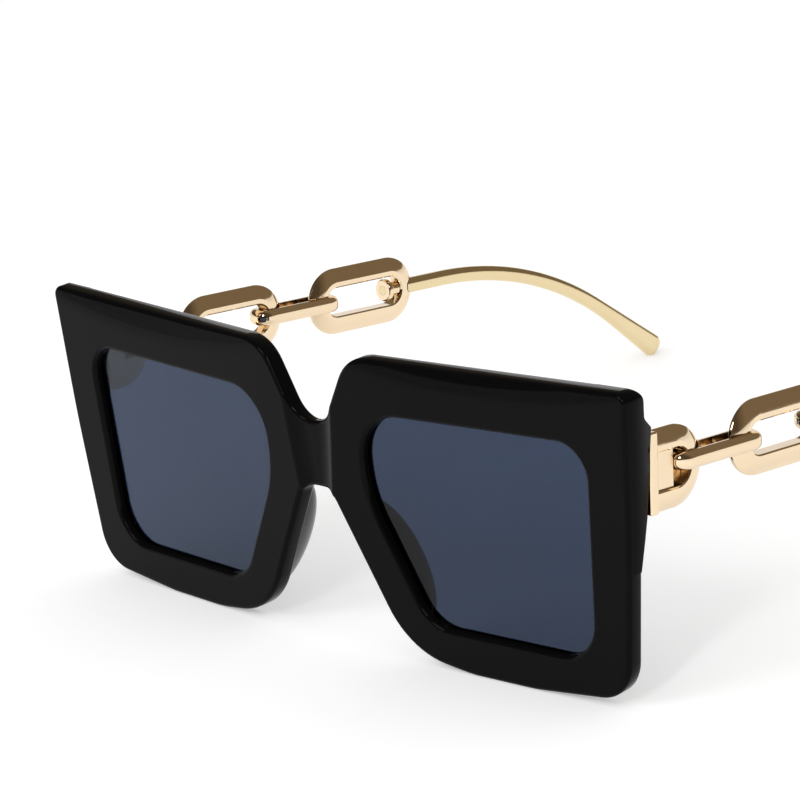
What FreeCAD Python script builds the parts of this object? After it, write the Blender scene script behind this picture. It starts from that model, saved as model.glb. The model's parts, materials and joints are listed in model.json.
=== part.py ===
"""Oversized square sunglasses: black front, tinted lenses and chain-link metal temples, in millimetres.

+X is the wearer's left, +Y runs back along the temples and +Z is up. The glasses stand open on a table
at Z = 0, on the two rims and the two temple tips. Each side is modelled on the wearer's left and
mirrored for the right.
"""
import math
import os

import FreeCAD
import Part
from FreeCAD import Placement, Rotation, Vector

# Front: outline of the left half, across from the middle and up from the table
FRONT_THICKNESS = 3.3
FRONT_WRAP_DEG = 3.4
TOP_HALF_WIDTH = 71.7
TOP_HEIGHT = 54.2
TOP_CORNER_RADIUS = 1.8
SIDE_TAPER = 1.8
SIDE_HEIGHT = 30.0
SIDE_RADIUS = 200.0
FOOT_TAPER = 5.3
FOOT_CORNER_HEIGHT = 1.7
FOOT_CORNER_RADIUS = 7.5
REST_INNER = 32.0
REST_OUTER = 46.0
REST_RADIUS = 30.0
NASAL_FOOT_HALF_WIDTH = 17.9
NASAL_FOOT_HEIGHT = 1.8
NASAL_FOOT_RADIUS = 16.0
BRIDGE_HALF_WIDTH = 3.65
BRIDGE_LOW = 28.1
BRIDGE_LOW_RADIUS = 3.2
NOTCH_HALF_WIDTH = 3.5
BRIDGE_HEIGHT = 11.8
NOTCH_RADIUS = 6.0
BROW_INNER = 10.8
BROW_DIP = 1.2
BROW_RADIUS = 8.0
FRONT_EDGE_FILLET = 0.8
BACK_EDGE_FILLET = 0.5

# Bridge saddle: the recess between the rims' front faces
SADDLE_DEPTH = 1.2
SADDLE_LOW_HALF_WIDTH = 0.35
SADDLE_TOP_HALF_WIDTH = 3.6
SADDLE_HOLLOW_RADIUS = 8.3
SADDLE_EDGE_RADIUS = 1.4

# Lens opening in the left rim: widths of the rim round it, corner radii and edge rounding
RIM_SIDE_WIDTH = 9.3
RIM_BROW_WIDTH = 9.8
OPEN_TOP_OUTER_RADIUS = 5.9
RIM_FOOT_SIDE_WIDTH = 12.0
RIM_FOOT_WIDTH = 7.2
OPEN_FOOT_OUTER_RADIUS = 7.6
RIM_NASAL_FOOT_WIDTH = 5.8
RIM_NASAL_FOOT_HEIGHT = 7.1
OPEN_FOOT_INNER_RADIUS = 8.0
RIM_NASAL_WIDTH = 8.55
OPEN_NASAL_BEND_HEIGHT = 28.5
OPEN_NASAL_BEND_RADIUS = 20.0
RIM_BROW_INNER_WIDTH = 10.9
OPEN_TOP_INNER_RADIUS = 9.0
OPEN_EDGE_FILLET = 0.8

# Lens and its groove
LENS_THICKNESS = 1.0
LENS_SETBACK = 1.6
LENS_LIP = 0.9
LENS_CLEARANCE = 0.04

# Nose pads, bonded to the rims' backs along the nasal edge
PAD_LENGTH = 24.6
PAD_WIDTH = 5.5
PAD_DEPTH = 6.0
PAD_EDGE_INSET = 0.6
PAD_TOP_INSET = 3.0
PAD_FLARE = 0.8

# Temple line: where the chain starts, in from the front's side and down from its top, and how it runs back
TEMPLE_INSET = 2.35
TEMPLE_DROP = 14.15
TEMPLE_SLOPE_DEG = 5.7
TEMPLE_TOE_IN_DEG = 1.4
TEMPLE_GAP = 0.25

# Lug: the rim's side thickened back to the hinge
LUG_DEPTH = 4.9
LUG_HALF_HEIGHT = 7.1
LUG_INNER_WALL = 1.3
LUG_SHOULDER_DEPTH = 4.2
LUG_SHOULDER_RISE = 1.8
LUG_SHOULDER_RADIUS = 1.5
LUG_CORNER_RADIUS = 3.0
LUG_FLARE = 0.6
LUG_TOP_RISE = 7.5
LUG_FOOT_BLEND = 9.5
LUG_ROOT = 1.0

# Upright chain links and the end link at the hinge
FRONT_LINK_LENGTH = 24.6
REAR_LINK_LENGTH = 26.2
LINK_WINDOW_HEIGHT = 5.6
LINK_BAR = 3.6
LINK_THICKNESS = 3.0
LINK_FACE = 1.1
LINK_CREST_HALF_WIDTH = 0.3
LINK_CREST_RISE = 0.05
LINK_BULGE = 0.15
LINK_WINDOW_CHAMFER = 0.25
LINK_SPACING = 7.2
END_WINDOW_LENGTH = 7.75
END_WINDOW_HEIGHT = 6.4
END_LINK_DROP = 0.75
END_PLATE_THICKNESS = 1.9
END_PLATE_HEIGHT = 13.5
END_PLATE_LIP = 0.1
END_PLATE_FILLET = 0.35

# Connector links, turned on their side through the upright links
CONNECTOR_WIDTH = 6.2
CONNECTOR_THICKNESS = 3.0
CONNECTOR_END_WALL = 2.5
CONNECTOR_EDGE_FILLET = 1.2
CONNECTOR_SLOT_CORNER = 0.5
CONNECTOR_SIDE_CLEARANCE = 0.1
CONNECTOR_END_CLEARANCE = 0.05

# Hinge: sunk front leaf with two knuckles, one temple knuckle, one screw
KNUCKLE_RADIUS = 1.3
KNUCKLE_HEIGHT = 3.2
KNUCKLE_GAP = 0.1
OUTER_KNUCKLE_HEIGHT = 2.4
KNUCKLE_PLATE_CLEARANCE = 0.2
HINGE_LEAF_DEPTH = 1.2
HINGE_LEAF_WIDTH = 3.4
HINGE_LEAF_CLEARANCE = 0.04
HINGE_WEB_WIDTH = 1.6
TEMPLE_LEAF_THICKNESS = 1.1
TEMPLE_TONGUE_LAP = 0.95
WINDOW_PANEL_RECESS = 0.7
WINDOW_PANEL_CLEARANCE = 0.05
SCREW_RADIUS = 0.6
SCREW_CLEARANCE = 0.04
SCREW_HEAD_RADIUS = 1.05
SCREW_HEAD_HEIGHT = 0.6
SCREW_SLOT_WIDTH = 0.3
SCREW_SLOT_DEPTH = 0.3

# Temple arm: tenon through the last link, straight rod, bend and flared tip
ARM_HEIGHT = 2.95
ARM_WIDTH = 2.8
ARM_EDGE_FILLET = 1.2
ARM_STAND_OFF = 0.1
ARM_STRAIGHT = 8.0
ARM_BEND_RADIUS = 78.0
ARM_BEND_DEG = 35.5
ARM_TIP_FLARE_DEG = 2.9
ARM_TIP_CORNER = 1.8
TENON_RADIUS = 0.9
TENON_CLEARANCE = 0.04
DISC_RADIUS = 2.2
DISC_THICKNESS = 1.2
DISC_NECK_RADIUS = 1.4
DISC_NECK_LENGTH = 2.0
DISC_FILLET = 0.35
DISC_CLEARANCE = 0.05

# Places that follow from the sizes above
WRAP = math.radians(FRONT_WRAP_DEG)
OPEN_TOP_OUTER = TOP_HALF_WIDTH - RIM_SIDE_WIDTH
NOTCH_HEIGHT = BRIDGE_LOW + BRIDGE_HEIGHT
TEMPLE_X = TOP_HALF_WIDTH - TEMPLE_INSET
TEMPLE_Y = (LUG_DEPTH + TEMPLE_X * math.sin(WRAP)) / math.cos(WRAP)
TEMPLE_Z = TOP_HEIGHT - TEMPLE_DROP
LINK_WINDOW_RADIUS = LINK_WINDOW_HEIGHT / 2
LINK_HALF_HEIGHT = LINK_WINDOW_RADIUS + LINK_BAR
END_WINDOW_RADIUS = END_WINDOW_HEIGHT / 2
END_LINK_REACH = TEMPLE_GAP + END_PLATE_THICKNESS + END_WINDOW_LENGTH + LINK_BAR
END_PLATE_WIDTH = LINK_THICKNESS + END_PLATE_LIP

ACROSS = Vector(1, 0, 0)
BACK = Vector(0, 1, 0)
UP = Vector(0, 0, 1)
ORIGIN = Vector(0, 0, 0)
REACH = 200.0
CENTRE_OVERLAP = 3.0
CUT_MARGIN = 1.0
ROUNDED_SHARE = 0.995


def corner_sides(spots, i):
    """Directions from a corner to the one before it and the one after it, and half the angle between them."""
    before = (spots[i - 1] - spots[i]).normalize()
    after = (spots[(i + 1) % len(spots)] - spots[i]).normalize()
    return before, after, before.getAngle(after) / 2


def corner_reaches(spots, radii):
    """How far each corner's rounding runs along its sides, where two roundings share a side's length."""
    wanted = [radii[i] / math.tan(corner_sides(spots, i)[2]) for i in range(len(spots))]
    reaches = list(wanted)
    for i in range(len(spots)):
        taken = wanted[i - 1] + wanted[i]
        room = (spots[i] - spots[i - 1]).Length * ROUNDED_SHARE
        for j in (i - 1, i):
            reaches[j] = min(reaches[j], wanted[j] * room / max(taken, room))
    return reaches


def rounded_wire(corners):
    """Closed wire in the X-Z plane through (x, z, radius) corners, each rounded by its radius."""
    count = len(corners)
    spots = [Vector(x, 0, z) for x, z, radius in corners]
    reaches = corner_reaches(spots, [radius for x, z, radius in corners])
    starts, middles, ends = [], [], []
    for i, reach in enumerate(reaches):
        before, after, half = corner_sides(spots, i)
        starts.append(spots[i] + before * reach)
        ends.append(spots[i] + after * reach)
        bisector = before + after
        depth = reach * (1 - math.sin(half)) / math.cos(half)
        middles.append(spots[i] + bisector.normalize() * depth if reach else None)
    edges = []
    for i in range(count):
        if middles[i]:
            edges.append(Part.Arc(starts[i], middles[i], ends[i]).toShape())
        edges.append(Part.LineSegment(ends[i], starts[(i + 1) % count]).toShape())
    return Part.Wire(edges)


def prism(wire, depth, start=0.0):
    """Solid between two depths behind a wire that lies in the X-Z plane."""
    solid = Part.Face(wire).extrude(BACK * depth)
    solid.translate(BACK * start)
    return solid


def edges_along(solid, wire, low, high):
    """Edges of a solid that follow a wire somewhere between two depths behind it."""
    found = []
    for edge in solid.Edges:
        place = (edge.FirstParameter + edge.LastParameter) / 2
        middle = edge.valueAt(place)
        on_face = Part.Vertex(Vector(middle.x, 0, middle.z))
        across = abs(edge.tangentAt(place).y) < 0.99
        if low <= middle.y <= high and across and wire.distToShape(on_face)[0] < 1e-3:
            found.append(edge)
    return found


def centred_box(width, depth, height, x, y, z):
    """Box centred in X and Z on a point, running back from it in Y."""
    return Part.makeBox(width, depth, height, Vector(x - width / 2, y, z - height / 2))


def front_outline():
    """Outline of the front's left half, a little past the middle."""
    return rounded_wire([
        (-CENTRE_OVERLAP, BRIDGE_LOW, 0),
        (BRIDGE_HALF_WIDTH, BRIDGE_LOW, BRIDGE_LOW_RADIUS),
        (NASAL_FOOT_HALF_WIDTH, NASAL_FOOT_HEIGHT, NASAL_FOOT_RADIUS),
        (REST_INNER, 0, REST_RADIUS),
        (REST_OUTER, 0, REST_RADIUS),
        (TOP_HALF_WIDTH - FOOT_TAPER, FOOT_CORNER_HEIGHT, FOOT_CORNER_RADIUS),
        (TOP_HALF_WIDTH - SIDE_TAPER, SIDE_HEIGHT, SIDE_RADIUS),
        (TOP_HALF_WIDTH, TOP_HEIGHT, TOP_CORNER_RADIUS),
        (BROW_INNER, TOP_HEIGHT - BROW_DIP, BROW_RADIUS),
        (NOTCH_HALF_WIDTH, NOTCH_HEIGHT, NOTCH_RADIUS),
        (-CENTRE_OVERLAP, NOTCH_HEIGHT, 0),
    ])


def opening_outline(grow=0.0):
    """Outline of the left lens opening, grown all round by a distance."""
    nasal = BRIDGE_HALF_WIDTH + RIM_NASAL_WIDTH
    nasal_foot = NASAL_FOOT_HALF_WIDTH + RIM_NASAL_FOOT_WIDTH
    wire = rounded_wire([
        (OPEN_TOP_OUTER, TOP_HEIGHT - RIM_BROW_WIDTH, OPEN_TOP_OUTER_RADIUS),
        (TOP_HALF_WIDTH - RIM_FOOT_SIDE_WIDTH, RIM_FOOT_WIDTH, OPEN_FOOT_OUTER_RADIUS),
        (nasal_foot, RIM_NASAL_FOOT_HEIGHT, OPEN_FOOT_INNER_RADIUS),
        (nasal, OPEN_NASAL_BEND_HEIGHT, OPEN_NASAL_BEND_RADIUS),
        (nasal, TOP_HEIGHT - RIM_BROW_INNER_WIDTH, OPEN_TOP_INNER_RADIUS),
    ])
    return wire.makeOffset2D(grow) if grow else wire


def wrap(shape):
    """Turn a piece of the left rim back by the front's wrap."""
    turned = shape.copy()
    turned.rotate(ORIGIN, UP, FRONT_WRAP_DEG)
    return turned


def temple_place(shape):
    """Put a piece of the left temple, built along +Y from the lug, where the temple runs."""
    placed = shape.copy()
    turn = Rotation(UP, TEMPLE_TOE_IN_DEG) * Rotation(ACROSS, -TEMPLE_SLOPE_DEG)
    placed.Placement = Placement(Vector(TEMPLE_X, TEMPLE_Y, TEMPLE_Z), turn) * placed.Placement
    return placed


def mirrored(shape):
    """The same piece on the wearer's right."""
    return shape.mirror(ORIGIN, ACROSS)


def saddle_profile():
    """Top view of the left half at the bridge's foot: saddle floor, hollow, rounded edge and rim face."""
    floor_end = SADDLE_LOW_HALF_WIDTH
    floor_depth = (SADDLE_DEPTH - floor_end * math.sin(WRAP)) / math.cos(WRAP)
    hollow, edge = SADDLE_HOLLOW_RADIUS, SADDLE_EDGE_RADIUS
    steepest = math.acos((hollow * math.cos(WRAP) + edge - floor_depth) / (hollow + edge))
    face_start = floor_end + hollow * (math.sin(steepest) - math.sin(WRAP)) + edge * math.sin(steepest)

    def hollow_spot(turn):
        across = floor_end + hollow * (math.sin(turn) - math.sin(WRAP))
        return Vector(across, floor_depth - hollow * (math.cos(WRAP) - math.cos(turn)), 0)

    def edge_spot(turn):
        return Vector(face_start - edge * math.sin(turn), edge * (1 - math.cos(turn)), 0)

    centre = floor_end - SADDLE_TOP_HALF_WIDTH - CENTRE_OVERLAP
    start = Vector(centre, floor_depth + (floor_end - centre) * math.tan(WRAP), 0)
    corners = [edge_spot(0), Vector(REACH, 0, 0), Vector(REACH, FRONT_THICKNESS, 0),
               Vector(centre, FRONT_THICKNESS, 0), start]
    edges = [Part.LineSegment(start, hollow_spot(WRAP)).toShape()]
    edges.append(Part.Arc(*[hollow_spot(turn) for turn in (WRAP, (WRAP + steepest) / 2, steepest)]).toShape())
    edges.append(Part.Arc(*[edge_spot(turn) for turn in (steepest, steepest / 2, 0)]).toShape())
    for begin, end in zip(corners, corners[1:]):
        edges.append(Part.LineSegment(begin, end).toShape())
    return Part.Face(Part.Wire(edges))


def half_plate():
    """Left half of the front as a plate with its saddle, its edges rounded and its lens opening cut."""
    outline = front_outline()
    opening = opening_outline()
    low = -CUT_MARGIN
    high = TOP_HEIGHT + CUT_MARGIN
    spread = (SADDLE_TOP_HALF_WIDTH - SADDLE_LOW_HALF_WIDTH) / (TOP_HEIGHT - BRIDGE_LOW)
    profile = saddle_profile()
    profile.translate(Vector((low - BRIDGE_LOW) * spread, 0, low))
    skin = profile.extrude(Vector((high - low) * spread, 0, high - low))
    through = FRONT_THICKNESS + 2 * CUT_MARGIN
    plate = prism(outline, through, -CUT_MARGIN).common(skin)
    plate = plate.cut(prism(opening, through, -CUT_MARGIN))
    bridge_wall = FRONT_THICKNESS - SADDLE_DEPTH
    back_fillet = min(BACK_EDGE_FILLET, 0.45 * bridge_wall)
    shallow = FRONT_THICKNESS - back_fillet
    front_fillet = min(FRONT_EDGE_FILLET, 0.45 * bridge_wall)
    plate = plate.makeFillet(front_fillet, edges_along(plate, outline, 0, shallow))
    plate = plate.makeFillet(OPEN_EDGE_FILLET, edges_along(plate, opening, 0, shallow))
    rims = [e for wire in (opening, outline) for e in edges_along(plate, wire, shallow, FRONT_THICKNESS)]
    return plate.makeFillet(back_fillet, rims)


def hinge_offset():
    """How far the hinge axis stands inward of the temple line."""
    return -(END_PLATE_WIDTH / 2 + KNUCKLE_PLATE_CLEARANCE + KNUCKLE_RADIUS)


def hinge_reach():
    """How far the hinge axis stands behind the lug."""
    return TEMPLE_GAP + KNUCKLE_RADIUS


def hinge_half_height():
    """Half the height of the three knuckles together."""
    return KNUCKLE_HEIGHT / 2 + KNUCKLE_GAP + OUTER_KNUCKLE_HEIGHT


def lug_depth(height):
    """Depth behind the front face at which the lug ends, at one height."""
    lean = math.tan(math.radians(TEMPLE_SLOPE_DEG)) * (height - TEMPLE_Z)
    return LUG_DEPTH + lean * math.cos(WRAP)


def lug():
    """Side of the rim thickened back to the hinge, running out below and above it."""
    low = TEMPLE_Z - LUG_HALF_HEIGHT
    high = TEMPLE_Z + LUG_HALF_HEIGHT
    skin = FRONT_THICKNESS - BACK_EDGE_FILLET
    deep = lug_depth(high) + CUT_MARGIN
    profile = rounded_wire([
        (LUG_ROOT, low - LUG_FOOT_BLEND, 0),
        (skin, low - LUG_FOOT_BLEND, 0),
        (lug_depth(low), low, 0),
        (deep, low, 0),
        (deep, high, 0),
        (lug_depth(high), high, 0),
        (LUG_SHOULDER_DEPTH, high + LUG_SHOULDER_RISE, LUG_SHOULDER_RADIUS),
        (LUG_SHOULDER_DEPTH, high + LUG_TOP_RISE, LUG_CORNER_RADIUS),
        (LUG_ROOT, high + LUG_TOP_RISE, 0),
    ])
    profile.rotate(ORIGIN, UP, 90)
    block = Part.Face(profile).extrude(ACROSS * REACH)
    block.translate(ACROSS * (OPEN_TOP_OUTER + LUG_INNER_WALL))
    lean = LUG_FLARE / (LUG_DEPTH - LUG_ROOT)
    flared = FreeCAD.Matrix(1, lean, 0, -lean * LUG_ROOT, 0, 1, 0, 0, 0, 0, 1, 0)
    sides = prism(front_outline(), deep + CUT_MARGIN).transformGeometry(flared)
    block = wrap(block.common(sides))
    behind = temple_place(centred_box(REACH, REACH, REACH, 0, 0, 0))
    return block.cut(behind)


def leaf_block(grow):
    """Plate of the front hinge leaf, sunk in the lug; grown for its pocket."""
    width = HINGE_LEAF_WIDTH + 2 * grow
    height = 2 * (hinge_half_height() + grow)
    return centred_box(width, HINGE_LEAF_DEPTH + grow, height, hinge_offset(), -HINGE_LEAF_DEPTH - grow, 0)


def front_frame():
    """The whole front in one piece: two rims, bridge, lens grooves and hinge lugs."""
    plate = half_plate()
    groove_depth = LENS_THICKNESS + 2 * LENS_CLEARANCE
    plate = plate.cut(prism(opening_outline(LENS_LIP), groove_depth, LENS_SETBACK - LENS_CLEARANCE))
    half = wrap(plate).fuse(lug())
    half = half.cut(temple_place(leaf_block(HINGE_LEAF_CLEARANCE)))
    half = half.common(Part.makeBox(REACH, REACH, REACH, Vector(0, -REACH / 2, -REACH / 2)))
    return half.fuse(mirrored(half)).removeSplitter()


def lens():
    """Flat tinted lens held in the rim's groove."""
    return wrap(prism(opening_outline(LENS_LIP - LENS_CLEARANCE), LENS_THICKNESS, LENS_SETBACK))


def nose_pad():
    """Rounded nose pad standing back from the rim beside the nose, leaning away from it."""
    top = Vector(BRIDGE_HALF_WIDTH, FRONT_THICKNESS, BRIDGE_LOW)
    foot = Vector(NASAL_FOOT_HALF_WIDTH, FRONT_THICKNESS, NASAL_FOOT_HEIGHT)
    along = (foot - top).normalize()
    inward = Vector(-along.z, 0, along.x)
    middle = top + along * (PAD_TOP_INSET + PAD_LENGTH / 2) + inward * (PAD_EDGE_INSET + PAD_WIDTH / 2)
    length = along * (PAD_LENGTH / 2)
    depth = BACK * PAD_DEPTH + inward * PAD_FLARE
    width = inward * (PAD_WIDTH / 2)
    stretch = FreeCAD.Matrix(length.x, depth.x, width.x, middle.x, length.y, depth.y, width.y, middle.y,
                             length.z, depth.z, width.z, middle.z)
    dome = Part.makeSphere(1.0, ORIGIN, BACK, 0, 90, 360)
    return wrap(dome.transformGeometry(stretch))


def link_section(grow, window=LINK_WINDOW_RADIUS):
    """Section of a link's upper bar: flat window wall and cheeks, and a bulging ridge outside."""
    half = LINK_THICKNESS / 2 + grow
    inner = window - grow
    bevel = inner + LINK_WINDOW_CHAMFER
    cheek = window + LINK_FACE
    crest = window + LINK_BAR + grow
    rim = crest - LINK_CREST_RISE
    run = half - LINK_CREST_HALF_WIDTH
    rise = rim - cheek
    bulge = LINK_BULGE / math.hypot(run, rise)
    waist = half - run / 2 + rise * bulge
    middle = cheek + rise / 2 + run * bulge
    flat = half - LINK_WINDOW_CHAMFER
    left_ridge = [Vector(-half, 0, cheek), Vector(-waist, 0, middle), Vector(-LINK_CREST_HALF_WIDTH, 0, rim)]
    right_ridge = [Vector(LINK_CREST_HALF_WIDTH, 0, rim), Vector(waist, 0, middle), Vector(half, 0, cheek)]
    walls = [right_ridge[2], Vector(half, 0, bevel), Vector(flat, 0, inner),
             Vector(-flat, 0, inner), Vector(-half, 0, bevel), left_ridge[0]]
    edges = [Part.Arc(*left_ridge).toShape()]
    edges.append(Part.Arc(left_ridge[2], Vector(0, 0, crest), right_ridge[0]).toShape())
    edges.append(Part.Arc(*right_ridge).toShape())
    for begin, end in zip(walls, walls[1:]):
        edges.append(Part.LineSegment(begin, end).toShape())
    return Part.Face(Part.Wire(edges))


def link_bars(section, start, end):
    """Upper and lower straight bars of a link between two places along the temple."""
    upper = section.copy()
    upper.translate(BACK * start)
    bar = upper.extrude(BACK * (end - start))
    return [bar, bar.mirror(ORIGIN, UP)]


def link_bend(section, place, turn):
    """Half-round end of a link about a place along the temple."""
    upper = section.copy()
    upper.translate(BACK * place)
    return upper.revolve(BACK * place, ACROSS, turn)


def chain_link(start, length, grow=0.0):
    """Upright oval link with a long window."""
    section = link_section(grow)
    first = start + LINK_HALF_HEIGHT
    last = start + length - LINK_HALF_HEIGHT
    pieces = link_bars(section, first, last)
    pieces.append(link_bend(section, last, -180))
    return link_bend(section, first, 180).multiFuse(pieces).removeSplitter()


def end_bend():
    """Place along the temple that the end link's round end is turned about."""
    return END_LINK_REACH - LINK_BAR - END_WINDOW_RADIUS


def end_link():
    """Half link with a flat plate that stands against the lug."""
    plate = centred_box(END_PLATE_WIDTH, END_PLATE_THICKNESS, END_PLATE_HEIGHT, 0, TEMPLE_GAP, 0)
    plate = plate.makeFillet(END_PLATE_FILLET, plate.Edges)
    section = link_section(0.0, END_WINDOW_RADIUS)
    pieces = link_bars(section, TEMPLE_GAP + END_PLATE_THICKNESS / 2, end_bend())
    pieces.append(link_bend(section, end_bend(), -180))
    link = plate.multiFuse(pieces).removeSplitter()
    link.translate(UP * -END_LINK_DROP)
    return link


def window_sag(half_width, radius=LINK_WINDOW_RADIUS):
    """How far a link's round window wall comes in at a distance off its middle."""
    return radius - math.sqrt(radius * radius - half_width * half_width)


def connector(begin, end):
    """Flat link on its side, whose slot takes two upright links between two places along the temple."""
    half = CONNECTOR_WIDTH / 2
    nose = begin - CONNECTOR_END_WALL
    tail = end + CONNECTOR_END_WALL
    straight = tail - nose - CONNECTOR_WIDTH
    body = Part.makeBox(CONNECTOR_WIDTH, straight, CONNECTOR_THICKNESS, Vector(-half, nose + half, 0))
    for place in (nose + half, tail - half):
        body = body.fuse(Part.makeCylinder(half, CONNECTOR_THICKNESS, BACK * place))
    body = body.removeSplitter()
    body.translate(UP * (-CONNECTOR_THICKNESS / 2))
    rims = [e for e in body.Edges if abs(abs(e.CenterOfMass.z) - CONNECTOR_THICKNESS / 2) < 1e-6]
    body = body.makeFillet(CONNECTOR_EDGE_FILLET, rims)
    width = LINK_THICKNESS + 2 * CONNECTOR_SIDE_CLEARANCE
    slot = centred_box(width, end - begin, CONNECTOR_THICKNESS, 0, begin, 0)
    posts = [e for e in slot.Edges if abs(e.tangentAt(e.FirstParameter).z) > 0.5]
    return body.cut(slot.makeFillet(CONNECTOR_SLOT_CORNER, posts))


def window_seat():
    """Room along the temple between a link's end and a connector's slot end in its round window."""
    return LINK_BAR + window_sag(CONNECTOR_THICKNESS / 2) + CONNECTOR_END_CLEARANCE


def end_seat():
    """Front end of the front connector's slot, in the window of the lower-set end link."""
    sag = window_sag(CONNECTOR_THICKNESS / 2 + END_LINK_DROP, END_WINDOW_RADIUS)
    return END_LINK_REACH - LINK_BAR - sag - CONNECTOR_END_CLEARANCE


def front_connector():
    """Connector between the end link and the front chain link."""
    return connector(end_seat(), front_link_start() + window_seat())


def rear_connector():
    """Connector between the two chain links."""
    front_end = front_link_start() + FRONT_LINK_LENGTH
    return connector(front_end - window_seat(), rear_link_start() + window_seat())


def front_link_start():
    """Front end of the front chain link along the temple."""
    return END_LINK_REACH + LINK_SPACING


def rear_link_start():
    """Front end of the rear chain link along the temple."""
    return front_link_start() + FRONT_LINK_LENGTH + LINK_SPACING


def rear_link_end():
    """Rear end of the rear chain link along the temple."""
    return rear_link_start() + REAR_LINK_LENGTH


def neck_end():
    """Rear end of the riveted disc's neck, seated in the round end of the rear link's window."""
    return rear_link_end() - LINK_BAR - window_sag(DISC_NECK_RADIUS) - DISC_CLEARANCE


def disc_start():
    """Front face of the riveted disc along the temple."""
    return neck_end() - DISC_NECK_LENGTH - DISC_THICKNESS


def tenon(radius, start, end):
    """Round tenon along the temple line."""
    return Part.makeCylinder(radius, end - start, BACK * start, BACK)


def rear_link():
    """Rear chain link, drilled through its round end for the arm's tenon."""
    hole = tenon(TENON_RADIUS + TENON_CLEARANCE, neck_end(), rear_link_end() + CUT_MARGIN)
    return chain_link(rear_link_start(), REAR_LINK_LENGTH).cut(hole)


def arm_disc():
    """Necked disc riveted on the tenon inside the rear link's window."""
    start = disc_start()
    disc = tenon(DISC_RADIUS, start, start + DISC_THICKNESS)
    disc = disc.makeFillet(DISC_FILLET, [e for e in disc.Edges if e.Curve.TypeId == "Part::GeomCircle"])
    disc = disc.fuse(tenon(DISC_NECK_RADIUS, start + DISC_THICKNESS / 2, neck_end())).removeSplitter()
    return disc.cut(tenon(TENON_RADIUS + TENON_CLEARANCE, start - CUT_MARGIN, neck_end() + CUT_MARGIN))


def bend_start():
    """Place along the temple where the arm starts to bend down."""
    return rear_link_end() + ARM_STRAIGHT


def bend_spot(radius, degrees):
    """Point at a radius from the bend's centre, at an angle turned through the bend."""
    angle = math.radians(degrees)
    return Vector(0, bend_start() + radius * math.sin(angle), radius * math.cos(angle) - ARM_BEND_RADIUS)


def tip_spot(radius, degrees, length):
    """Point on the edge that leaves the bend at an angle, where the tip ends at a length past the bend."""
    turn = math.radians(degrees)
    lean = math.radians(ARM_BEND_DEG)
    start = bend_spot(radius, degrees)
    end = bend_spot(ARM_BEND_RADIUS, ARM_BEND_DEG) + Vector(0, math.cos(lean), -math.sin(lean)) * length
    to_end = (end - start).dot(Vector(0, math.cos(lean), -math.sin(lean)))
    return start + Vector(0, math.cos(turn), -math.sin(turn)) * (to_end / math.cos(turn - lean))


def tip_length():
    """Length past the bend that brings the tip's lower rounded corner down to the table."""
    slope = math.radians(TEMPLE_SLOPE_DEG)
    flare = math.radians(ARM_TIP_FLARE_DEG)
    lean = slope + math.radians(ARM_BEND_DEG)
    middle = bend_spot(ARM_BEND_RADIUS, ARM_BEND_DEG)
    height = TEMPLE_Z - math.sin(slope) * middle.y + math.cos(slope) * middle.z
    inner = ARM_BEND_RADIUS - ARM_HEIGHT / 2
    rise = (inner + ARM_TIP_CORNER) / math.cos(flare) - ARM_BEND_RADIUS
    fall = math.sin(lean) + math.tan(flare) * math.cos(lean)
    return (height + rise * math.cos(lean) - ARM_TIP_CORNER) / fall + ARM_TIP_CORNER


def arm_bar(start):
    """Straight rod, bend and flared paddle in one smooth bar with rounded edges."""
    half = ARM_HEIGHT / 2
    outer = ARM_BEND_RADIUS + half
    inner = ARM_BEND_RADIUS - half
    upper_turn = ARM_BEND_DEG - ARM_TIP_FLARE_DEG
    lower_turn = ARM_BEND_DEG + ARM_TIP_FLARE_DEG
    length = tip_length()
    upper_end = tip_spot(outer, upper_turn, length)
    lower_end = tip_spot(inner, lower_turn, length)
    upper_start = Vector(0, start, half)
    lower_start = Vector(0, start, -half)
    upper = [bend_spot(outer, upper_turn * share) for share in (0, 0.5, 1)]
    lower = [bend_spot(inner, lower_turn * share) for share in (1, 0.5, 0)]
    edges = [
        Part.LineSegment(upper_start, upper[0]).toShape(),
        Part.Arc(*upper).toShape(),
        Part.LineSegment(upper[2], upper_end).toShape(),
        Part.LineSegment(upper_end, lower_end).toShape(),
        Part.LineSegment(lower_end, lower[0]).toShape(),
        Part.Arc(*lower).toShape(),
        Part.LineSegment(lower[2], lower_start).toShape(),
        Part.LineSegment(lower_start, upper_start).toShape(),
    ]
    face = Part.Face(Part.Wire(edges))
    face.translate(ACROSS * (-ARM_WIDTH / 2))
    bar = face.extrude(ACROSS * ARM_WIDTH)
    crosswise = [e for e in bar.Edges if abs(e.CenterOfMass.x) < 1e-6]
    corners = [e for e in crosswise if e.CenterOfMass.y > upper[2].y + half]
    bar = bar.makeFillet(min(ARM_TIP_CORNER, 0.45 * upper_end.distanceToPoint(lower_end)), corners)
    lengthwise = [e for e in bar.Edges if abs(abs(e.CenterOfMass.x) - ARM_WIDTH / 2) < 1e-6]
    rims = [e for e in lengthwise if e.CenterOfMass.y > start + 1e-6]
    return bar.makeFillet(min(ARM_EDGE_FILLET, 0.45 * ARM_WIDTH, 0.45 * ARM_HEIGHT), rims)


def temple_arm():
    """Arm from its tenon in the rear link back over the ear to the flared tip."""
    bar = arm_bar(rear_link_end() - LINK_BAR / 2)
    bar = bar.cut(chain_link(rear_link_start(), REAR_LINK_LENGTH, ARM_STAND_OFF))
    pin = tenon(TENON_RADIUS, disc_start(), rear_link_end() + ARM_STRAIGHT / 2)
    return bar.fuse(pin).removeSplitter()


def knuckle(radius, low, high):
    """Cylinder on the hinge axis between two heights."""
    return Part.makeCylinder(radius, high - low, Vector(hinge_offset(), hinge_reach(), low))


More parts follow.
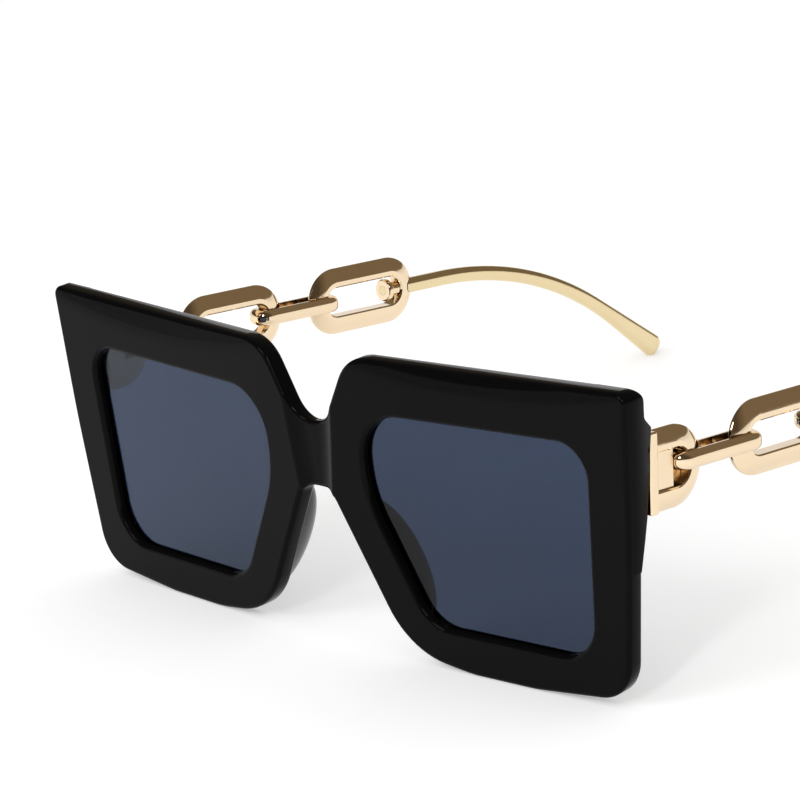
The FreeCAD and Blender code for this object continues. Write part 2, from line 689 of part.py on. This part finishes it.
def front_hinge():
    """Sunk leaf with an upper and a lower knuckle, bored for the screw."""
    leaf = leaf_block(0.0)
    inner = KNUCKLE_HEIGHT / 2 + KNUCKLE_GAP
    outer = hinge_half_height()
    for low, high in ((inner, outer), (-outer, -inner)):
        web = centred_box(HINGE_WEB_WIDTH, hinge_reach() + HINGE_LEAF_DEPTH / 2, high - low,
                          hinge_offset(), -HINGE_LEAF_DEPTH / 2, (low + high) / 2)
        leaf = leaf.fuse(web).fuse(knuckle(KNUCKLE_RADIUS, low, high))
    bore = knuckle(SCREW_RADIUS + SCREW_CLEARANCE, -outer - CUT_MARGIN, outer + CUT_MARGIN)
    return leaf.removeSplitter().cut(bore)


def window_plate(start):
    """Plate over the end link's window on its inner face, slotted for the front connector's nose."""
    half = END_WINDOW_RADIUS + LINK_FACE
    face = -LINK_THICKNESS / 2 - TEMPLE_LEAF_THICKNESS
    length = end_bend() - start
    plate = Part.makeBox(TEMPLE_LEAF_THICKNESS, length, 2 * half, Vector(face, start, -half))
    disc = Part.makeCylinder(half, TEMPLE_LEAF_THICKNESS, Vector(face, end_bend(), 0), ACROSS)
    plate = plate.fuse(disc.common(centred_box(REACH, REACH, REACH, 0, end_bend(), 0)))
    plate.translate(UP * -END_LINK_DROP)
    slot_start = end_seat() - CONNECTOR_END_WALL - CONNECTOR_SIDE_CLEARANCE
    slot_height = CONNECTOR_THICKNESS + 2 * CONNECTOR_SIDE_CLEARANCE
    return plate.cut(centred_box(REACH, REACH, slot_height, 0, slot_start, 0))


def window_panel():
    """Raised panel that fills the end link's window in front of the connector's nose."""
    start = TEMPLE_GAP + END_PLATE_THICKNESS + WINDOW_PANEL_CLEARANCE
    end = end_seat() - CONNECTOR_END_WALL - CONNECTOR_SIDE_CLEARANCE
    width = LINK_THICKNESS - WINDOW_PANEL_RECESS
    half = END_WINDOW_RADIUS - WINDOW_PANEL_CLEARANCE
    panel = Part.makeBox(width, end - start, 2 * half, Vector(-LINK_THICKNESS / 2, start, -half))
    panel.translate(UP * -END_LINK_DROP)
    return panel


def temple_hinge():
    """Middle knuckle with a tongue and the plate fastened to the end link's inner face."""
    half = KNUCKLE_HEIGHT / 2
    back = hinge_reach() + KNUCKLE_RADIUS + KNUCKLE_PLATE_CLEARANCE
    low = -LINK_THICKNESS / 2 - TEMPLE_LEAF_THICKNESS
    tongue_width = -END_PLATE_WIDTH / 2 - KNUCKLE_PLATE_CLEARANCE - low
    tongue_length = back + TEMPLE_TONGUE_LAP - hinge_reach()
    tongue = Part.makeBox(tongue_width, tongue_length, KNUCKLE_HEIGHT, Vector(low, hinge_reach(), -half))
    leaf = window_plate(back).fuse(window_panel()).fuse(tongue)
    leaf = leaf.fuse(knuckle(KNUCKLE_RADIUS, -half, half)).removeSplitter()
    return leaf.cut(knuckle(SCREW_RADIUS + SCREW_CLEARANCE, -half - CUT_MARGIN, half + CUT_MARGIN))


def hinge_screw():
    """Slotted screw down through the three knuckles."""
    top = hinge_half_height()
    head_top = top + SCREW_HEAD_HEIGHT
    screw = knuckle(SCREW_RADIUS, -top, top).fuse(knuckle(SCREW_HEAD_RADIUS, top, head_top)).removeSplitter()
    slot_low = head_top - SCREW_SLOT_DEPTH
    slot = Part.makeBox(2 * SCREW_HEAD_RADIUS, SCREW_SLOT_WIDTH, SCREW_HEAD_HEIGHT)
    slot.translate(Vector(hinge_offset() - SCREW_HEAD_RADIUS, hinge_reach() - SCREW_SLOT_WIDTH / 2, slot_low))
    return screw.cut(slot)


def left_pieces():
    """Every piece of the wearer's left side, in place behind the front."""
    temple = {
        "front_hinge": front_hinge(),
        "hinge_screw": hinge_screw(),
        "temple_hinge": temple_hinge(),
        "end_link": end_link(),
        "front_connector": front_connector(),
        "front_chain_link": chain_link(front_link_start(), FRONT_LINK_LENGTH),
        "rear_connector": rear_connector(),
        "rear_chain_link": rear_link(),
        "arm_disc": arm_disc(),
        "temple_arm": temple_arm(),
    }
    pieces = {name: temple_place(shape) for name, shape in temple.items()}
    pieces["lens"] = lens()
    pieces["nose_pad"] = nose_pad()
    return pieces


def all_pieces():
    """Every node of the glasses, centred front to back over the origin."""
    pieces = {"front_frame": front_frame()}
    for name, shape in left_pieces().items():
        pieces[name + "_left"] = shape
        pieces[name + "_right"] = mirrored(shape)
    boxes = [pieces[name].optimalBoundingBox() for name in ("front_frame", "temple_arm_left")]
    middle = (min(box.YMin for box in boxes) + max(box.YMax for box in boxes)) / 2
    for shape in pieces.values():
        shape.translate(BACK * -middle)
    return pieces


os.makedirs("parts", exist_ok=True)
for node, solid in all_pieces().items():
    solid.exportStep("parts/" + node + ".step")
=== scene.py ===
"""Oversized square sunglasses: finishes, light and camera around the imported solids, in metres."""

import json
import math

import bmesh
import bpy
from mathutils import Matrix, Vector

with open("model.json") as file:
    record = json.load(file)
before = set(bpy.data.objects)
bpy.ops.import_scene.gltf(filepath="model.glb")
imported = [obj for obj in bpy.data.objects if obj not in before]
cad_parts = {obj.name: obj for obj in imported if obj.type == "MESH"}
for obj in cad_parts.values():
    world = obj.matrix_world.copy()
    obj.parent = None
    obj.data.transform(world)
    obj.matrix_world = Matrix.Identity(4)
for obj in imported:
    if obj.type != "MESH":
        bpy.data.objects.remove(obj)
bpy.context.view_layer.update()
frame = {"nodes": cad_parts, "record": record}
nodes = frame["nodes"]


class Socket:
    """A node's output that sums, products and the larger of two can be written with."""

    def __init__(self, tree, output):
        self.tree = tree
        self.output = output

    def _math(self, operation, first, second):
        node = self.tree.nodes.new("ShaderNodeMath")
        node.operation = operation
        for slot, value in zip(node.inputs, (first, second)):
            if isinstance(value, Socket):
                self.tree.links.new(value.output, slot)
            else:
                slot.default_value = value
        return Socket(self.tree, node.outputs[0])

    def __add__(self, other):
        return self._math("ADD", self, other)

    def __radd__(self, other):
        return self._math("ADD", other, self)

    def __sub__(self, other):
        return self._math("SUBTRACT", self, other)

    def __rsub__(self, other):
        return self._math("SUBTRACT", other, self)

    def __mul__(self, other):
        return self._math("MULTIPLY", self, other)

    def __rmul__(self, other):
        return self._math("MULTIPLY", other, self)

    def __or__(self, other):
        return self._math("MAXIMUM", self, other)

    def __ror__(self, other):
        return self._math("MAXIMUM", other, self)


# The mix node's sockets share their names, so its colours go by place.
MIX_FIRST = 6
MIX_SECOND = 7
MIX_RESULT = 2


class Shader:
    """A node tree being written, for a material or the world."""

    def __init__(self, owner):
        owner.use_nodes = True
        self.tree = owner.node_tree
        self.tree.nodes.clear()

    def node(self, kind, settings=(), sockets=(), out=0):
        """Add a node with its settings and socket values, and return one of its outputs."""
        node = self.tree.nodes.new("ShaderNode" + kind)
        for name, value in dict(settings).items():
            if name == "stops":
                self.set_stops(node.color_ramp, value)
            else:
                setattr(node, name, value)
        for name, value in dict(sockets).items():
            if isinstance(value, Socket):
                self.tree.links.new(value.output, node.inputs[name])
            else:
                node.inputs[name].default_value = value
        return Socket(self.tree, node.outputs[out]) if node.outputs else None

    @staticmethod
    def set_stops(ramp, stops):
        """Give a colour ramp its two stops, as (place, colour) pairs."""
        for element, (place, tone) in zip(ramp.elements, stops):
            element.position = place
            element.color = (*tone, 1.0)

    def noise(self, scale, detail=2.0, stretch=(1, 1, 1)):
        """Cloudy pattern over the piece, as a value about one half."""
        place = self.node("TexCoord", out="Object")
        place = self.node("Mapping", sockets={"Vector": place, "Scale": stretch})
        return self.node("TexNoise", sockets={"Vector": place, "Scale": scale, "Detail": detail})

    def mix(self, share, first, second):
        """Blend of two colours."""
        sockets = {"Factor": share, MIX_FIRST: first, MIX_SECOND: second}
        return self.node("Mix", {"data_type": "RGBA"}, sockets, out=MIX_RESULT)

    def bump(self, height, strength, depth):
        """Normal of a surface with a fine relief, its depth in metres."""
        return self.node("Bump", sockets={"Strength": strength, "Distance": depth, "Height": height})

    def finish(self, **sockets):
        """Close a material with the surface it describes."""
        named = {name.replace("_", " "): value for name, value in sockets.items()}
        surface = self.node("BsdfPrincipled", sockets=named)
        self.node("OutputMaterial", sockets={"Surface": surface})


# The front as the solids have it: its face at the middle, the turn of each half, and its top edge.
FRONT_FACE = -0.07663
FRONT_WRAP = math.radians(3.4)
FRONT_HALF_THICKNESS = 0.00165
TOP_INNER_HEIGHT = 0.0528
TOP_RISE = 0.0197

# The relief: the crown of the edges, and the part of each brow that falls back.
EDGE_CROWN = 70.0
BROW_MIDDLE = 0.041
BROW_HALF_WIDTH = 0.03125
BROW_HEIGHT = 0.0059
BROW_TAPER = 0.003
BROW_FALL = 45.0


def rim_crown(shader):
    """Relief of the front in metres: its edges crowned front to back, its faces falling back at the brow."""
    place = shader.node("TexCoord", out="Object")
    x, y, z = [shader.node("SeparateXYZ", sockets={"Vector": place}, out=axis) for axis in "XYZ"]
    across = x | (0.0 - x)
    turned = y * math.cos(FRONT_WRAP) - across * math.sin(FRONT_WRAP)
    depth = turned - (FRONT_FACE + FRONT_HALF_THICKNESS)
    edges = depth * depth * -EDGE_CROWN
    off_middle = (across - BROW_MIDDLE) * (1.0 / BROW_HALF_WIDTH)
    brow = BROW_HEIGHT - off_middle * off_middle * BROW_TAPER
    below_top = across * TOP_RISE + TOP_INNER_HEIGHT - z
    fall = (brow - below_top) | 0.0
    return edges - fall * fall * BROW_FALL


GRAIN_DEPTH = 0.000001
MARK_DEPTH = 0.00002


def vary(level, pattern, swing):
    """A level that a pattern about one half moves up and down, by a share of the level."""
    return level * (1.0 - swing / 2) + pattern * (level * swing)


def black_acetate(name, tone, haze, gloss, crown=None):
    """Polished black plastic with faint clouds of pigment and a soft buffed haze."""
    material = bpy.data.materials.new(name)
    shader = Shader(material)
    clouds = shader.noise(60.0, 3.0)
    smears = shader.noise(180.0, 4.0, (1.0, 1.0, 0.35))
    relief = shader.noise(2600.0, 2.0) * GRAIN_DEPTH
    if crown:
        relief = relief + crown(shader)
    dark = (tone * 0.8, tone * 0.8, tone * 0.9, 1.0)
    light = (tone * 1.2, tone * 1.2, tone * 1.3, 1.0)
    shader.finish(
        Base_Color=shader.mix(clouds, dark, light),
        Roughness=vary(haze, smears, 0.8),
        Specular_IOR_Level=gloss,
        Normal=shader.bump(relief, 1.0, 1.0),
    )
    return material


def tinted_lens(name):
    """Dark blue see-through lens, dyed all through and polished, with faint wipe marks."""
    material = bpy.data.materials.new(name)
    shader = Shader(material)
    dye = shader.noise(25.0, 2.0)
    wipes = shader.noise(120.0, 3.0, (0.3, 1.0, 1.0))
    shader.finish(
        Base_Color=shader.mix(dye, (0.025, 0.041, 0.081, 1.0), (0.030, 0.047, 0.091, 1.0)),
        Roughness=0.01 + wipes * 0.03,
        Transmission_Weight=1.0,
        IOR=1.28,
    )
    return material


def plated_gold(name, pale, deep, polish, rub):
    """Pale gold plating: colour that drifts a little, buffing haze and hairline rubs."""
    material = bpy.data.materials.new(name)
    shader = Shader(material)
    drift = shader.noise(90.0, 3.0)
    haze = shader.noise(300.0, 4.0)
    rubs = shader.noise(1500.0, 3.0, (1.0, 0.08, 1.0))
    shader.finish(
        Base_Color=shader.mix(drift, (*deep, 1.0), (*pale, 1.0)),
        Metallic=1.0,
        Roughness=vary(polish, haze, 0.6),
        Normal=shader.bump(rubs, rub, MARK_DEPTH),
    )
    return material


def turned_steel(name):
    """Bright steel with fine turning marks."""
    material = bpy.data.materials.new(name)
    shader = Shader(material)
    marks = shader.noise(3000.0, 2.0, (1.0, 1.0, 0.1))
    shader.finish(
        Base_Color=shader.mix(marks, (0.52, 0.50, 0.47, 1.0), (0.68, 0.66, 0.63, 1.0)),
        Metallic=1.0,
        Roughness=0.2 + marks * 0.15,
        Normal=shader.bump(marks, 0.15, MARK_DEPTH),
    )
    return material


PALE_GOLD = (0.90, 0.73, 0.51)
DEEP_GOLD = (0.86, 0.68, 0.47)
PALE_ARM_GOLD = (0.82, 0.68, 0.42)
DEEP_ARM_GOLD = (0.78, 0.63, 0.37)

FINISHES = {
    "front_black": black_acetate("front_black_acetate", tone=0.003, haze=0.06, gloss=0.05, crown=rim_crown),
    "pad_black": black_acetate("pad_black_acetate", tone=0.005, haze=0.08, gloss=0.3),
    "lens_tint": tinted_lens("lens_blue_tint"),
    "chain_gold": plated_gold("chain_gold_plate", PALE_GOLD, DEEP_GOLD, polish=0.10, rub=0.05),
    "arm_gold": plated_gold("arm_gold_plate", PALE_ARM_GOLD, DEEP_ARM_GOLD, polish=0.16, rub=0.10),
    "hinge_gold": plated_gold("hinge_gold_plate", PALE_GOLD, DEEP_GOLD, polish=0.22, rub=0.12),
    "screw_steel": turned_steel("screw_turned_steel"),
}


def dress():
    """Give every solid the finish of its material slot."""
    for row in frame["record"]["subparts"]:
        piece = nodes[row["node"]]
        piece.data.materials.clear()
        piece.data.materials.append(FINISHES[row["material_slot"]])


TABLE_RADIUS = 3.0
TABLE_SIDES = 96
BACKDROP_HEIGHT = 0.21
BACKDROP_SLOPE = 0.24


def background_rays(shader):
    """One for the rays that show the background: seen directly, mirrored in metal or through a lens."""
    kinds = ("Is Camera Ray", "Is Glossy Ray", "Is Transmission Ray")
    camera_ray, mirrored_ray, lens_ray = [shader.node("LightPath", out=kind) for kind in kinds]
    return camera_ray | mirrored_ray | lens_ray


def white_paint():
    """Matt white of the table and the wall round it."""
    material = bpy.data.materials.new("white_paint")
    shader = Shader(material)
    speck = shader.noise(40.0, 2.0)
    shader.finish(
        Base_Color=shader.mix(speck, (0.80, 0.80, 0.80, 1.0), (0.82, 0.82, 0.82, 1.0)),
        Roughness=0.9,
        Specular_IOR_Level=0.0,
        Emission_Color=shader.mix(background_rays(shader), (0.0, 0.0, 0.0, 1.0), (0.3, 0.3, 0.3, 1.0)),
        Emission_Strength=1.0,
    )
    return material


def stand(name, sheet, material):
    """Put a sheet of the studio into the scene."""
    mesh = bpy.data.meshes.new(name)
    sheet.to_mesh(mesh)
    sheet.free()
    mesh.materials.append(material)
    piece = bpy.data.objects.new(name, mesh)
    bpy.context.scene.collection.objects.link(piece)


def table(material):
    """White table top that the glasses stand on."""
    sheet = bmesh.new()
    bmesh.ops.create_circle(sheet, cap_ends=True, segments=TABLE_SIDES, radius=TABLE_RADIUS)
    stand("table_top", sheet, material)


def backdrop(material):
    """Low white wall round the table, higher on the wearer's right."""
    sheet = bmesh.new()
    bmesh.ops.create_circle(sheet, segments=TABLE_SIDES, radius=TABLE_RADIUS)
    raised = bmesh.ops.extrude_edge_only(sheet, edges=sheet.edges[:])["geom"]
    for corner in raised:
        if isinstance(corner, bmesh.types.BMVert):
            corner.co.z = BACKDROP_HEIGHT + BACKDROP_SLOPE * max(0.0, -corner.co.x)
    stand("backdrop_wall", sheet, material)


def sky():
    """Soft light all round, and the dim warm studio above the wall."""
    world = bpy.data.worlds.new("studio")
    bpy.context.scene.world = world
    shader = Shader(world)
    direction = shader.node("TexCoord", out="Generated")
    y = shader.node("SeparateXYZ", sockets={"Vector": direction}, out="Y")
    studio = shader.node("ValToRGB", {"stops": [
        (0.45, (0.075, 0.055, 0.035)),
        (0.65, (0.190, 0.146, 0.096)),
    ]}, {"Fac": y * 0.5 + 0.5})
    tone = shader.mix(background_rays(shader), (0.8, 0.8, 0.8, 1.0), studio)
    surface = shader.node("Background", sockets={"Color": tone, "Strength": 1.0})
    shader.node("OutputWorld", sockets={"Surface": surface})


def lamp(name, place, target, size, power):
    """Soft box that faces a point."""
    light = bpy.data.lights.new(name, "AREA")
    light.shape = "RECTANGLE"
    light.size = size[0]
    light.size_y = size[1]
    light.energy = power
    holder = bpy.data.objects.new(name, light)
    aim = Vector(target) - Vector(place)
    holder.matrix_world = Matrix.Translation(place) @ aim.to_track_quat("-Z", "Y").to_matrix().to_4x4()
    bpy.context.scene.collection.objects.link(holder)


EYE_PLACE = (0.47506, -0.47499, 0.23128)
EYE_RIGHT = (0.6833, 0.7215, -0.1119)
EYE_FORWARD = (-0.7166, 0.6334, -0.2920)


def camera():
    """Long lens from the wearer's front left, a little above the table."""
    eye = bpy.data.cameras.new("photo_view")
    eye.sensor_fit = "HORIZONTAL"
    eye.sensor_width = 36.0
    eye.lens = 173.13
    eye.clip_start = 0.01
    eye.clip_end = 50.0
    forward = Vector(EYE_FORWARD).normalized()
    right = Vector(EYE_RIGHT)
    right = (right - forward * right.dot(forward)).normalized()
    up = right.cross(forward)
    turn = Matrix((right, up, -forward)).transposed()
    holder = bpy.data.objects.new("photo_view", eye)
    holder.matrix_world = Matrix.Translation(EYE_PLACE) @ turn.to_4x4()
    bpy.context.scene.collection.objects.link(holder)
    bpy.context.scene.camera = holder


dress()
paint = white_paint()
table(paint)
backdrop(paint)
sky()
lamp("front_softbox", (-0.25, -0.95, 0.75), target=(0.0, 0.0, 0.02), size=(0.45, 0.45), power=2.5)
lamp("strip_light", (0.40, -0.80, 0.62), target=(0.0, 0.0, 0.03), size=(0.07, 0.35), power=1.8)
camera()
bpy.context.scene.view_settings.view_transform = "Standard"
